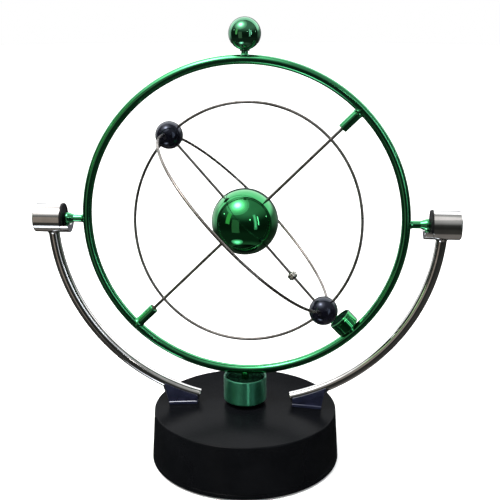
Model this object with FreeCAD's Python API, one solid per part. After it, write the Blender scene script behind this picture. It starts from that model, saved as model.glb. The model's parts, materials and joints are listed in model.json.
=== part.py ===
import FreeCAD, Part
import math
import os

from FreeCAD import Matrix, Placement, Vector

# Battery-driven kinetic desk toy.  A round base holds the batteries and a drive coil.
# Two curved arms carry the pivot cups.  A plated ring swings between the cups, and a
# rotor of two wire rings, a centre ball and two small balls spins inside the ring on
# a slanted axle.  Millimetres, +Z up, +X along the pivot axis, and the origin at the
# middle of the surface that the base stands on.

os.makedirs("parts", exist_ok=True)

# ---- driving dimensions -------------------------------------------------------------
PIVOT_HEIGHT = 137.0          # pivot axis above the table

RING_RADIUS = 85.0            # centre line of the swinging ring
RING_ROD = 2.5                # radius of the ring's bar

BASE_RIM_RADIUS = 50.7        # top edge of the base
BASE_FOOT_RADIUS = 52.5       # bottom edge of the base
BASE_RIM_HEIGHT = 30.0
BASE_CROWN = 2.4              # rise of the domed top above the rim
BASE_WALL = 2.0
FOOT_STANDOFF = 1.0           # the feet lift the base by this much
RIM_FILLET = 0.8

BOSS_CIRCLE = 42.5            # screw bosses inside the base
BOSS_RADIUS = 3.2
SCREW_PILOT = 1.2
SCREW_SHANK = 1.2
SCREW_CLEARANCE = 1.6
SCREW_HEAD = 2.6
SCREW_HEAD_HEIGHT = 1.4
SCREW_SLOT = 0.6
BOTTOM_SCREW_LENGTH = 9.0
DOOR_SCREW_LENGTH = 7.0
BOSS_PILOT_DEPTH = 12.0
HEAD_SEAT_GAP = 0.2           # seats of the screw heads in the bottom plate and the door
HEAD_SEAT_DEPTH = 0.8

PLATE_THICKNESS = 2.0
PLATE_RADIUS = 49.9
FOOT_RADIUS = 4.5
FOOT_CIRCLE = 45.0
FOOT_SEAT_DEPTH = 1.0

CELL_RADIUS = 7.2             # AA cells
CELL_PITCH = 14.6
CELL_COUNT = 4
CELL_LENGTH = 50.5
CELL_NUB = 1.3
CELL_NUB_RADIUS = 2.7
CELL_FLOOR = 3.5
BAY_HALF_X = 29.6
BAY_HALF_Y = 28.6
BAY_WALL = 1.5
BAY_ROOF = 18.2
CONTACT_THICKNESS = 0.4
DOOR_GAP = 0.25
DOOR_HALF_X = 28.4
DOOR_HALF_Y = 27.8
DOOR_EAR_HALF = 6.0
DOOR_EAR_END = 38.5
DOOR_SCREW_Y = -34.5
DOOR_BLOCK_HALF = 5.0         # block that the door's screw bites in
DOOR_BLOCK_TOP = 11.0
TONGUE_HALF = 6.0
TONGUE_THICKNESS = 1.2
TONGUE_OVERLAP = 0.6
TONGUE_REACH = 1.0
GROOVE_HALF = 8.0             # finger groove in the door
GROOVE_NEAR = 18.0
GROOVE_FAR = 20.0
GROOVE_DEPTH = 0.8
CONTACT_HALF = 5.5
CONTACT_LOW = 5.5
CONTACT_HIGH = 16.0
SPRING_STRIP = 0.45
SPRING_HALF_HEIGHT = 4.0
SPRING_HALF_CREST = 1.0
SPRING_HALF_WIDTH = 2.3

BOBBIN_RADIUS = 14.5
BOBBIN_FLANGE = 1.2
BOBBIN_BORE = 4.0
BOBBIN_HUB = 5.2
COIL_RADIUS = 13.4
COIL_TOP = 29.4

BOARD_X = 15.0                # half width of the circuit board
BOARD_Y_NEAR = 17.0
BOARD_Y_FAR = 33.0
BOARD_STANDOFF = 2.0
BOARD_THICKNESS = 1.6
BOARD_SCREW_INSET = 3.0
BOARD_SCREW_SHANK = 0.9
BOARD_SCREW_HOLE = 1.2
BOARD_SCREW_HEAD = 1.9
STANDOFF_RADIUS = 2.2

BATTERY_LEAD_RADIUS = 0.6
BATTERY_LEAD_BEND = 2.0
BATTERY_LEAD_X = 25.0         # where each battery lead leaves the bay
BATTERY_LEAD_Y = 27.6
BATTERY_LEAD_LOW = 14.0
BATTERY_LEAD_HIGH = 26.5
BOARD_END_X = 13.0            # where each battery lead meets the board
BOARD_END_Y = 22.0
LEAD_HOLE = 0.9
COIL_LEAD_RADIUS = 0.3
COIL_LEAD_BEND = 0.6
COIL_LEAD_X = 2.0
COIL_LEAD_Y = 18.5
COIL_LEAD_HEIGHT = 24.6

ARM_RADIUS = 104.0            # both arms bend round the pivot axis
ARM_ROD = 3.0
ARM_END_ANGLE = 75.9          # degrees below the horizontal where an arm is cut square
SADDLE_HALF_WIDTH = 3.4
SADDLE_INNER = 26.5
SADDLE_OUTER = 42.5
SADDLE_OUTER_TOP = 45.5
SADDLE_OUTER_FOOT = -106.0    # levels counted from the pivot axis
SADDLE_FLOOR = -116.0
SADDLE_CREST = -90.0
SADDLE_BORE_GAP = 0.3         # the saddle reaches this far past the arm's centre line
SADDLE_SCREW_X = 35.0
SADDLE_PILOT_LOW = 28.0
SADDLE_PILOT_DEPTH = 7.4
SADDLE_HEAD_HEIGHT = 1.2
SADDLE_HEAD_DROP = 1.4        # head's lower face, below the inside of the base's top

CUP_RADIUS = 7.7
CUP_BORE = 3.5
CUP_FACE = 98.8               # cut end of the full round part of the cup
CUP_LIP = 94.2                # inner end of the half-round lip
CUP_END = 113.5
CUP_CUT_LEVEL = -2.4          # the lip lies below this level, counted from the axis
CAP_RADIUS = 8.1
CAP_THICKNESS = 1.3
CAP_DEPTH = 6.0
CUP_CHAMFER = 0.6

PIN_RADIUS = 2.05
COLLAR_RADIUS = 3.2
COLLAR_START = 92.4
COLLAR_END = 97.1
COLLAR_LENGTH = 1.4
JOURNAL_RADIUS = 1.5
JOURNAL_END = 102.5
RUNNING_GAP = 0.06            # radial clearance of each turning fit

TOP_BALL_RADIUS = 8.3
TOP_BALL_RISE = 97.7          # above the pivot axis
STUD_RADIUS = 1.8
STUD_GAP = 2.0                # the stud stops this far below the ball's centre

HOUSING_RADIUS = 11.9         # drive magnet under the ring
HOUSING_TOP = -88.4
HOUSING_BOTTOM = -102.5
HOUSING_WALL = 1.1
HOUSING_FLOOR = 1.3
HOUSING_FILLET = 1.0
MAGNET_RADIUS = 10.2
MAGNET_HEIGHT = 9.6
LID_THICKNESS = 1.2
STEM_RADIUS = 2.0
STEM_TIP = 1.4

SIDE_ANGLE = 46.0             # degrees below the horizontal
SIDE_RADIUS = 6.7
SIDE_INNER = 74.0
SIDE_OUTER = 81.4
SIDE_NECK = 2.6
SIDE_POCKET = 4.6
SIDE_POCKET_START = 75.0
SIDE_MAGNET_LENGTH = 5.0
SIDE_FILLET = 0.5

POST_RADIUS = 2.6
POST_END = 71.0
BUSH_RADIUS = 1.6
BUSH_LENGTH = 4.0
BUSH_GAP = 0.5                # space behind each bush
AXLE_RADIUS = 0.85
AXLE_SLOPE = 45.0             # degrees, towards +X
AXLE_END = 75.2

ROTOR_REST_TURN = -17.0       # degrees about the axle, from the plane of the ring
ORBIT_RADIUS = 63.0           # both wire rings and the centres of the small balls
WIRE_RADIUS = 0.8             # thinner than the axle, which parts the ring that it crosses
ROD_RADIUS = 0.75
CENTRE_BALL_RADIUS = 18.0
CENTRE_WALL = 1.5
HUB_RADIUS = 4.0
HUB_HALF = 15.2
SMALL_BALL_RADIUS = 7.6
ROD_START = 2.0
WIRE_SEAT = 5.2               # wires and rods stop this far from a small ball's centre
BALL_MAGNET_RADIUS = 3.0
LOWER_MAGNET_LENGTH = 4.0
BEAD_RADIUS = 2.6
BEAD_HALF = 2.0
BEAD_AT = 38.5
BEAD_FILLET = 0.9
MAGNET_DENSITY = 7.85         # g/cm3
BALL_DENSITY = 1.1            # g/cm3, the plastic that a longer magnet takes the place of
BEAD_DENSITY = 8.5            # g/cm3

ORIGIN = Vector(0, 0, 0)
X_AXIS = Vector(1, 0, 0)
Y_AXIS = Vector(0, 1, 0)
Z_AXIS = Vector(0, 0, 1)
PIVOT = Vector(0, 0, PIVOT_HEIGHT)


# ---- helpers ------------------------------------------------------------------------
def save(name, shape):
    shape.exportStep("parts/" + name + ".step")


def compound(shapes):
    return Part.makeCompound(list(shapes))


def rod_between(radius, start, end):
    """A round bar between two points."""
    run = end.sub(start)
    return Part.makeCylinder(radius, run.Length, start, run)


def radial_rod(radius, direction, inner, outer):
    """A round bar along a direction from the origin, between two distances."""
    return Part.makeCylinder(radius, outer - inner, direction * inner, direction)


def radial_cone(inner_radius, outer_radius, direction, inner, outer):
    return Part.makeCone(inner_radius, outer_radius, outer - inner, direction * inner, direction)


def block(low, high):
    size = [b - a for a, b in zip(low, high)]
    return Part.makeBox(size[0], size[1], size[2], Vector(*low))


def at_pivot(shape):
    """Move a piece that is drawn about the pivot point up to its place."""
    placed = shape.copy()
    placed.translate(PIVOT)
    return placed


def half_turn(shape):
    """The same piece on the other side of the object."""
    turned = shape.copy()
    turned.rotate(ORIGIN, Z_AXIS, 180)
    return turned


def profile_solid(points):
    """Turn a closed outline of (radius, height) points about Z."""
    outline = [Vector(radius, 0, height) for radius, height in points]
    face = Part.Face(Part.makePolygon(outline + outline[:1]))
    return face.revolve(ORIGIN, Z_AXIS, 360)


def pan_screw(x, y, head_z, length):
    """A pan-head screw with its head below and its point up."""
    head = Part.makeCylinder(SCREW_HEAD, SCREW_HEAD_HEIGHT, Vector(x, y, head_z))
    shank = Part.makeCylinder(SCREW_SHANK, length, Vector(x, y, head_z + SCREW_HEAD_HEIGHT))
    half = SCREW_SLOT / 2
    reach = SCREW_HEAD * 0.6
    slots = [block((x - reach, y - half, head_z), (x + reach, y + half, head_z + SCREW_SLOT)),
             block((x - half, y - reach, head_z), (x + half, y + reach, head_z + SCREW_SLOT))]
    return head.fuse(shank).cut(slots)


def bent_wire(points, radius, bend):
    """A round wire along straight runs joined by tangent arcs."""
    edges = []
    start = points[0]
    for corner, following in zip(points[1:-1], points[2:]):
        toward = (corner - start).normalize()
        away = (following - corner).normalize()
        turn = toward.getAngle(away)
        trim = bend * math.tan(turn / 2)
        enter = corner - toward * trim
        leave = corner + away * trim
        inward = (away - toward).normalize()
        centre = corner + inward * (bend / math.cos(turn / 2))
        middle = centre - inward * bend
        edges.append(Part.LineSegment(start, enter).toShape())
        edges.append(Part.Arc(enter, middle, leave).toShape())
        start = leave
    edges.append(Part.LineSegment(start, points[-1]).toShape())
    path = Part.Wire(edges)
    section = Part.Wire([Part.makeCircle(radius, points[0], points[1] - points[0])])
    return path.makePipeShell([section], True, True)


# ---- base ---------------------------------------------------------------------------
def dome(rim_radius, rim_height, rise, floor):
    """A solid with a crowned top, down to a floor level, wider than needed below."""
    sphere_radius = (rim_radius ** 2 + rise ** 2) / (2 * rise)
    centre = Vector(0, 0, rim_height + rise - sphere_radius)
    ball = Part.makeSphere(sphere_radius, centre)
    column = Part.makeCylinder(BASE_FOOT_RADIUS + 5, rim_height + rise - floor,
                               Vector(0, 0, floor))
    return ball.common(column)


def base_top_height(radius):
    """Height of the crowned top at a distance from the middle."""
    sphere_radius = (BASE_RIM_RADIUS ** 2 + BASE_CROWN ** 2) / (2 * BASE_CROWN)
    drop = sphere_radius - math.sqrt(sphere_radius ** 2 - radius ** 2)
    return BASE_RIM_HEIGHT + BASE_CROWN - drop


def base_outline(offset, bottom, rise_above):
    """The base's tapered wall under its crowned top, drawn in by an offset."""
    wall = Part.makeCone(BASE_FOOT_RADIUS - offset, BASE_RIM_RADIUS - offset,
                         BASE_RIM_HEIGHT - bottom, Vector(0, 0, bottom))
    collar = Part.makeCylinder(BASE_RIM_RADIUS - offset, rise_above,
                               Vector(0, 0, BASE_RIM_HEIGHT))
    return wall.fuse(collar).common(dome(BASE_RIM_RADIUS, BASE_RIM_HEIGHT - offset,
                                         BASE_CROWN, bottom))


def boss_places():
    for quarter in range(4):
        angle = math.radians(90 * quarter)
        yield BOSS_CIRCLE * math.cos(angle), BOSS_CIRCLE * math.sin(angle)


def rim_edges(solid):
    """The outer edge where the wall meets the crowned top."""
    found = []
    for edge in solid.Edges:
        box = edge.BoundBox
        level = abs(box.ZMin - BASE_RIM_HEIGHT) < 0.05 and abs(box.ZMax - BASE_RIM_HEIGHT) < 0.05
        if level and abs(box.XMax - BASE_RIM_RADIUS) < 0.05:
            found.append(edge)
    return found


def make_base_shell():
    outside = base_outline(0, FOOT_STANDOFF, 5).removeSplitter()
    outside = outside.makeFillet(RIM_FILLET, rim_edges(outside))
    inside = base_outline(BASE_WALL, FOOT_STANDOFF, 5)
    shell = outside.cut(inside)
    boss_foot = FOOT_STANDOFF + PLATE_THICKNESS
    bosses = []
    pilots = []
    for x, y in boss_places():
        bosses.append(Part.makeCylinder(BOSS_RADIUS, BASE_RIM_HEIGHT - boss_foot,
                                        Vector(x, y, boss_foot)))
        pilots.append(Part.makeCylinder(SCREW_PILOT, BOSS_PILOT_DEPTH, Vector(x, y, boss_foot)))
    holes = [Part.makeCylinder(SCREW_CLEARANCE, BASE_RIM_HEIGHT,
                               Vector(side * SADDLE_SCREW_X, 0, BASE_RIM_HEIGHT / 2))
             for side in (-1, 1)]
    solid_bosses = [boss.common(outside) for boss in bosses]
    return shell.fuse(solid_bosses).cut(pilots + holes)


def door_outline(gap, low, high):
    panel = block((-DOOR_HALF_X - gap, -DOOR_HALF_Y - gap, low),
                  (DOOR_HALF_X + gap, DOOR_HALF_Y + gap, high))
    ear = block((-DOOR_EAR_HALF - gap, -DOOR_EAR_END - gap, low),
                (DOOR_EAR_HALF + gap, -DOOR_HALF_Y, high))
    return panel.fuse(ear)


def make_bottom_plate():
    low = FOOT_STANDOFF
    top = FOOT_STANDOFF + PLATE_THICKNESS
    plate = Part.makeCylinder(PLATE_RADIUS, PLATE_THICKNESS, Vector(0, 0, low))
    tray = block((-BAY_HALF_X - BAY_WALL, -BAY_HALF_Y - BAY_WALL, top),
                 (BAY_HALF_X + BAY_WALL, BAY_HALF_Y + BAY_WALL, BAY_ROOF + BAY_WALL))
    bay = block((-BAY_HALF_X, -BAY_HALF_Y, top), (BAY_HALF_X, BAY_HALF_Y, BAY_ROOF))
    screw_block = block((-DOOR_BLOCK_HALF, -DOOR_EAR_END, top),
                        (DOOR_BLOCK_HALF, -BAY_HALF_Y - BAY_WALL, DOOR_BLOCK_TOP))
    opening = door_outline(DOOR_GAP, low, top)
    tongue_slot = block((-TONGUE_HALF - DOOR_GAP, BAY_HALF_Y, top),
                        (TONGUE_HALF + DOOR_GAP, BAY_HALF_Y + BAY_WALL,
                         top + TONGUE_THICKNESS + 0.3))
    door_pilot = Part.makeCylinder(SCREW_PILOT, DOOR_SCREW_LENGTH, Vector(0, DOOR_SCREW_Y, top))
    lead_holes = [Part.makeCylinder(LEAD_HOLE, BAY_WALL, Vector(x, BATTERY_LEAD_Y, BAY_ROOF))
                  for x in (-BATTERY_LEAD_X, BATTERY_LEAD_X)]
    screw_holes = [Part.makeCylinder(SCREW_CLEARANCE, PLATE_THICKNESS, Vector(x, y, low))
                   for x, y in boss_places()]
    head_seats = [head_seat(x, y) for x, y in boss_places()]
    foot_seats = [Part.makeCylinder(FOOT_RADIUS, FOOT_SEAT_DEPTH, Vector(x, y, low))
                  for x, y in foot_places()]
    roof = BAY_ROOF + BAY_WALL
    standoffs = [Part.makeCylinder(STANDOFF_RADIUS, BOARD_STANDOFF, Vector(x, y, roof))
                 for x, y in board_screw_places()]
    board_pilots = [Part.makeCylinder(BOARD_SCREW_SHANK, BOARD_STANDOFF, Vector(x, y, roof))
                    for x, y in board_screw_places()]
    solid = plate.cut(opening).fuse([tray, screw_block] + standoffs)
    return solid.cut([bay, tongue_slot, door_pilot] + lead_holes + screw_holes
                     + head_seats + foot_seats + board_pilots)


def head_seat(x, y):
    """Shallow seat for a screw's head in the underside."""
    return Part.makeCylinder(SCREW_HEAD + HEAD_SEAT_GAP, HEAD_SEAT_DEPTH,
                             Vector(x, y, FOOT_STANDOFF))


def make_battery_door():
    low = FOOT_STANDOFF
    top = FOOT_STANDOFF + PLATE_THICKNESS
    panel = door_outline(0, low, top)
    tongue = block((-TONGUE_HALF, DOOR_HALF_Y - TONGUE_OVERLAP, top),
                   (TONGUE_HALF, BAY_HALF_Y + BAY_WALL + TONGUE_REACH, top + TONGUE_THICKNESS))
    screw_hole = Part.makeCylinder(SCREW_CLEARANCE, PLATE_THICKNESS, Vector(0, DOOR_SCREW_Y, low))
    groove = block((-GROOVE_HALF, GROOVE_NEAR, low), (GROOVE_HALF, GROOVE_FAR, low + GROOVE_DEPTH))
    return panel.fuse(tongue).cut([screw_hole, head_seat(0, DOOR_SCREW_Y), groove])


def foot_places():
    for quarter in range(4):
        angle = math.radians(45 + 90 * quarter)
        yield FOOT_CIRCLE * math.cos(angle), FOOT_CIRCLE * math.sin(angle)


def make_base():
    head_low = FOOT_STANDOFF + HEAD_SEAT_DEPTH - SCREW_HEAD_HEIGHT
    save("base_shell", make_base_shell())
    save("bottom_plate", make_bottom_plate())
    save("battery_door", make_battery_door())
    save("bottom_screws", compound(pan_screw(x, y, head_low, BOTTOM_SCREW_LENGTH)
                                   for x, y in boss_places()))
    save("battery_door_screw", pan_screw(0, DOOR_SCREW_Y, head_low, DOOR_SCREW_LENGTH))
    feet = [Part.makeCylinder(FOOT_RADIUS, FOOT_STANDOFF + FOOT_SEAT_DEPTH, Vector(x, y, 0))
            for x, y in foot_places()]
    save("rubber_feet", compound(feet))


# ---- batteries and their contacts ---------------------------------------------------
def cell_lanes():
    """Middle of each cell across the bay, and which way its raised end points."""
    first = -CELL_PITCH * (CELL_COUNT - 1) / 2
    for index in range(CELL_COUNT):
        yield first + CELL_PITCH * index, 1 if index % 2 == 0 else -1


def make_batteries():
    axis_height = CELL_FLOOR + CELL_RADIUS
    contact_face = BAY_HALF_Y - CONTACT_THICKNESS
    cells = []
    springs = []
    contacts = []
    for x, sense in cell_lanes():
        along = Vector(0, sense, 0)
        nub_tip = Vector(x, sense * contact_face, axis_height)
        body_start = nub_tip - along * CELL_LENGTH
        body = Part.makeCylinder(CELL_RADIUS, CELL_LENGTH - CELL_NUB, body_start, along)
        nub = Part.makeCylinder(CELL_NUB_RADIUS, CELL_NUB, nub_tip - along * CELL_NUB, along)
        cells.append(body.fuse(nub))
        springs.append(make_battery_spring(body_start, sense, 2 * contact_face - CELL_LENGTH))
        for end in (-1, 1):
            near = end * BAY_HALF_Y
            far = end * contact_face
            contacts.append(block((x - CONTACT_HALF, min(near, far), CONTACT_LOW),
                                  (x + CONTACT_HALF, max(near, far), CONTACT_HIGH)))
    save("battery_cells", compound(cells))
    save("battery_springs", compound(springs))
    save("battery_contacts", compound(contacts))


def make_battery_spring(cell_end, sense, gap):
    """A bowed leaf spring between a cell's flat end and its contact."""
    wall = -sense * gap
    near_wall = -sense * (gap - SPRING_STRIP)
    crest_inside = -sense * SPRING_STRIP
    high = SPRING_HALF_HEIGHT
    crest = SPRING_HALF_CREST
    outline = [(wall, -high), (near_wall, -high), (0, -crest), (0, crest), (near_wall, high),
               (wall, high), (crest_inside, crest - 0.1), (crest_inside, 0.1 - crest)]
    corners = [cell_end + Vector(-SPRING_HALF_WIDTH, y, z) for y, z in outline]
    face = Part.Face(Part.makePolygon(corners + corners[:1]))
    return face.extrude(Vector(2 * SPRING_HALF_WIDTH, 0, 0))


# ---- drive coil and circuit ---------------------------------------------------------
def board_screw_places():
    x = BOARD_X - BOARD_SCREW_INSET
    y = BOARD_Y_FAR - BOARD_SCREW_INSET
    return [(-x, y), (x, y)]


def make_coil():
    floor = BAY_ROOF + BAY_WALL
    flange_low = Part.makeCylinder(BOBBIN_RADIUS, BOBBIN_FLANGE, Vector(0, 0, floor))
    flange_high = Part.makeCylinder(BOBBIN_RADIUS, BOBBIN_FLANGE,
                                    Vector(0, 0, COIL_TOP - BOBBIN_FLANGE))
    hub = Part.makeCylinder(BOBBIN_HUB, COIL_TOP - floor, Vector(0, 0, floor))
    bore = Part.makeCylinder(BOBBIN_BORE, COIL_TOP - floor, Vector(0, 0, floor))
    save("coil_bobbin", flange_low.fuse([flange_high, hub]).cut(bore))
    winding_low = floor + BOBBIN_FLANGE
    winding_high = COIL_TOP - BOBBIN_FLANGE
    winding = profile_solid([(BOBBIN_HUB, winding_low), (COIL_RADIUS, winding_low),
                             (COIL_RADIUS, winding_high), (BOBBIN_HUB, winding_high)])
    save("coil_winding", winding)
    save("coil_core", Part.makeCylinder(BOBBIN_BORE, COIL_TOP - floor, Vector(0, 0, floor)))


def make_circuit():
    board_low = BAY_ROOF + BAY_WALL + BOARD_STANDOFF
    board_top = board_low + BOARD_THICKNESS
    board = block((-BOARD_X, BOARD_Y_NEAR, board_low), (BOARD_X, BOARD_Y_FAR, board_top))
    holes = [Part.makeCylinder(BOARD_SCREW_HOLE, BOARD_THICKNESS, Vector(x, y, board_low))
             for x, y in board_screw_places()]
    save("circuit_board", board.cut(holes))
    save("board_parts", compound(board_components(board_top)))
    screws = []
    for x, y in board_screw_places():
        head = Part.makeCylinder(BOARD_SCREW_HEAD, 1.2, Vector(x, y, board_top))
        shank = Part.makeCylinder(BOARD_SCREW_SHANK, BOARD_THICKNESS + BOARD_STANDOFF,
                                  Vector(x, y, board_low - BOARD_STANDOFF))
        screws.append(head.fuse(shank))
    save("board_screws", compound(screws))
    save("battery_leads", compound(battery_lead(side, board_top) for side in (-1, 1)))
    save("coil_leads", compound(coil_lead(side, board_top) for side in (-1, 1)))


def board_components(board_top):
    """A flat-sided transistor, a round capacitor and a chip."""
    transistor = Part.makeCylinder(2.3, 4.5, Vector(-6, 21, board_top))
    transistor = transistor.cut(block((-9, 22.3, board_top), (-3, 24, board_top + 4.5)))
    capacitor = Part.makeCylinder(2.5, 4.8, Vector(6, 21.5, board_top))
    chip = block((-2.5, 26, board_top), (2.5, 30, board_top + 1.5))
    return [transistor, capacitor, chip]


def battery_lead(side, board_top):
    """From the battery bay, up and over, and down onto the board."""
    route = [Vector(side * BATTERY_LEAD_X, BATTERY_LEAD_Y, BATTERY_LEAD_LOW),
             Vector(side * BATTERY_LEAD_X, BATTERY_LEAD_Y, BATTERY_LEAD_HIGH),
             Vector(side * BOARD_END_X, BOARD_END_Y, BATTERY_LEAD_HIGH),
             Vector(side * BOARD_END_X, BOARD_END_Y, board_top)]
    return bent_wire(route, BATTERY_LEAD_RADIUS, BATTERY_LEAD_BEND)


def coil_lead(side, board_top):
    """From the side of the winding, across, and down onto the board."""
    route = [Vector(side * COIL_LEAD_X, COIL_RADIUS, COIL_LEAD_HEIGHT),
             Vector(side * COIL_LEAD_X, COIL_LEAD_Y, COIL_LEAD_HEIGHT),
             Vector(side * COIL_LEAD_X, COIL_LEAD_Y, board_top)]
    return bent_wire(route, COIL_LEAD_RADIUS, COIL_LEAD_BEND)


# ---- arms, saddles and cups ---------------------------------------------------------
def cup_envelope():
    return radial_rod(CUP_RADIUS, X_AXIS, CUP_LIP, CUP_END)


def arm_bar():
    section = Part.Face(Part.Wire([Part.makeCircle(ARM_ROD, Vector(ARM_RADIUS, 0, 0), Z_AXIS)]))
    return section.revolve(ORIGIN, Y_AXIS, ARM_END_ANGLE)


def make_saddle(bar):
    """A wedge under the arm's end, hollowed to the arm above and to the crowned top below."""
    outline = [Vector(SADDLE_INNER, -SADDLE_HALF_WIDTH, SADDLE_FLOOR),
               Vector(SADDLE_OUTER, -SADDLE_HALF_WIDTH, SADDLE_FLOOR),
               Vector(SADDLE_OUTER, -SADDLE_HALF_WIDTH, SADDLE_OUTER_FOOT),
               Vector(SADDLE_OUTER_TOP, -SADDLE_HALF_WIDTH, SADDLE_CREST),
               Vector(SADDLE_INNER, -SADDLE_HALF_WIDTH, SADDLE_CREST)]
    face = Part.Face(Part.makePolygon(outline + outline[:1]))
    wedge = face.extrude(Vector(0, 2 * SADDLE_HALF_WIDTH, 0))
    reach = ARM_RADIUS - SADDLE_BORE_GAP
    inner_space = Part.makeCylinder(reach, 2 * SADDLE_HALF_WIDTH, Vector(0, -SADDLE_HALF_WIDTH, 0),
                                    Y_AXIS)
    base_top = dome(BASE_RIM_RADIUS, BASE_RIM_HEIGHT, BASE_CROWN, FOOT_STANDOFF)
    base_top.translate(PIVOT * -1)
    pilot = Part.makeCylinder(SCREW_SHANK, SADDLE_PILOT_DEPTH,
                              Vector(SADDLE_SCREW_X, 0, SADDLE_PILOT_LOW - PIVOT_HEIGHT))
    return wedge.cut([inner_space, bar, base_top, pilot])


def make_cup():
    body = cup_envelope()
    cut_away = block((CUP_LIP, -CUP_RADIUS, CUP_CUT_LEVEL), (CUP_FACE, CUP_RADIUS, CUP_RADIUS))
    bore = radial_rod(CUP_BORE, X_AXIS, CUP_LIP, CUP_FACE + CAP_DEPTH)
    end_edge = [edge for edge in body.Edges if abs(edge.BoundBox.XMin - CUP_END) < 0.01]
    return body.makeChamfer(CUP_CHAMFER, end_edge).cut([cut_away, bore])


def make_bearing_cap():
    """The black cap on the cup's cut end, with a spigot that carries the pin's journal."""
    disc = radial_rod(CAP_RADIUS, X_AXIS, CUP_FACE - CAP_THICKNESS, CUP_FACE)
    below = block((CUP_LIP, -CAP_RADIUS, -CAP_RADIUS), (CUP_FACE, CAP_RADIUS, CUP_CUT_LEVEL))
    lower_plug = radial_rod(CUP_BORE, X_AXIS, CUP_FACE - CAP_THICKNESS, CUP_FACE)
    spigot = radial_rod(CUP_BORE, X_AXIS, CUP_FACE, CUP_FACE + CAP_DEPTH)
    bore = radial_rod(JOURNAL_RADIUS + RUNNING_GAP, X_AXIS, CUP_LIP, CUP_FACE + CAP_DEPTH - 1)
    return disc.cut(below).fuse([lower_plug, spigot]).cut(bore)


def make_supports():
    bar = arm_bar()
    saddle = make_saddle(bar)
    sides = {
        "arm": bar.cut(cup_envelope()),
        "saddle": saddle,
        "cup": make_cup(),
        "bearing_cap": make_bearing_cap(),
    }
    for name, shape in sides.items():
        save("right_" + name, at_pivot(shape))
        save("left_" + name, at_pivot(half_turn(shape)))
    head_low = base_top_height(SADDLE_SCREW_X) - BASE_WALL - SADDLE_HEAD_DROP
    screws = []
    for side in (-1, 1):
        start = Vector(side * SADDLE_SCREW_X, 0, head_low)
        point = Vector(side * SADDLE_SCREW_X, 0, SADDLE_PILOT_LOW + SADDLE_PILOT_DEPTH)
        head = Part.makeCylinder(SCREW_HEAD, SADDLE_HEAD_HEIGHT, start)
        screws.append(head.fuse(rod_between(SCREW_SHANK, start, point)))
    save("saddle_screws", compound(screws))


# ---- swinging ring ------------------------------------------------------------------
def make_pivot_pin():
    shaft = radial_rod(PIN_RADIUS, X_AXIS, RING_RADIUS, COLLAR_START)
    flare = radial_cone(PIN_RADIUS, COLLAR_RADIUS, X_AXIS, COLLAR_START, COLLAR_END - COLLAR_LENGTH)
    collar = radial_rod(COLLAR_RADIUS, X_AXIS, COLLAR_END - COLLAR_LENGTH, COLLAR_END)
    journal = radial_rod(JOURNAL_RADIUS, X_AXIS, COLLAR_END, JOURNAL_END)
    return shaft.fuse([flare, collar, journal])


def make_post(direction, ring):
    post = radial_rod(POST_RADIUS, direction, POST_END, RING_RADIUS)
    pocket = radial_rod(BUSH_RADIUS, direction, POST_END, POST_END + BUSH_LENGTH + BUSH_GAP)
    return post.cut([ring, pocket])


def make_bush(direction):
    body = radial_rod(BUSH_RADIUS, direction, POST_END, POST_END + BUSH_LENGTH)
    bore = radial_rod(AXLE_RADIUS + RUNNING_GAP, direction, POST_END, POST_END + BUSH_LENGTH)
    return body.cut(bore)


def make_drive_magnet_parts(ring):
    height = HOUSING_TOP - HOUSING_BOTTOM
    outer = Part.makeCylinder(HOUSING_RADIUS, height, Vector(0, 0, HOUSING_BOTTOM))
    low_edges = [edge for edge in outer.Edges if abs(edge.BoundBox.ZMax - HOUSING_BOTTOM) < 0.01]
    outer = outer.makeFillet(HOUSING_FILLET, low_edges)
    pocket_radius = HOUSING_RADIUS - HOUSING_WALL
    floor = HOUSING_BOTTOM + HOUSING_FLOOR
    pocket = Part.makeCylinder(pocket_radius, height, Vector(0, 0, floor))
    save("drive_magnet_housing", at_pivot(outer.cut(pocket)))
    magnet = Part.makeCylinder(MAGNET_RADIUS, MAGNET_HEIGHT, Vector(0, 0, floor))
    save("drive_magnet", at_pivot(magnet))
    lid_low = floor + MAGNET_HEIGHT
    lid = Part.makeCylinder(pocket_radius, LID_THICKNESS, Vector(0, 0, lid_low))
    tip = Part.makeCylinder(STEM_TIP, LID_THICKNESS, Vector(0, 0, lid_low))
    save("magnet_housing_lid", at_pivot(lid.cut(tip)))
    lid_top = lid_low + LID_THICKNESS
    stem = Part.makeCylinder(STEM_RADIUS, -RING_RADIUS - lid_top, Vector(0, 0, lid_top))
    save("housing_stem", at_pivot(stem.cut(ring).fuse(tip)))


def make_side_magnet_parts(ring):
    angle = math.radians(SIDE_ANGLE)
    outward = Vector(math.cos(angle), 0, -math.sin(angle))
    body = radial_rod(SIDE_RADIUS, outward, SIDE_INNER, SIDE_OUTER)
    body = body.makeFillet(SIDE_FILLET, [edge for edge in body.Edges if edge.Closed])
    neck = radial_rod(SIDE_NECK, outward, SIDE_OUTER - 1, RING_RADIUS)
    magnet = radial_rod(SIDE_POCKET, outward, SIDE_POCKET_START,
                        SIDE_POCKET_START + SIDE_MAGNET_LENGTH)
    save("side_magnet_housing", at_pivot(body.fuse(neck).cut([ring, magnet])))
    save("side_magnet", at_pivot(magnet))


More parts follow.
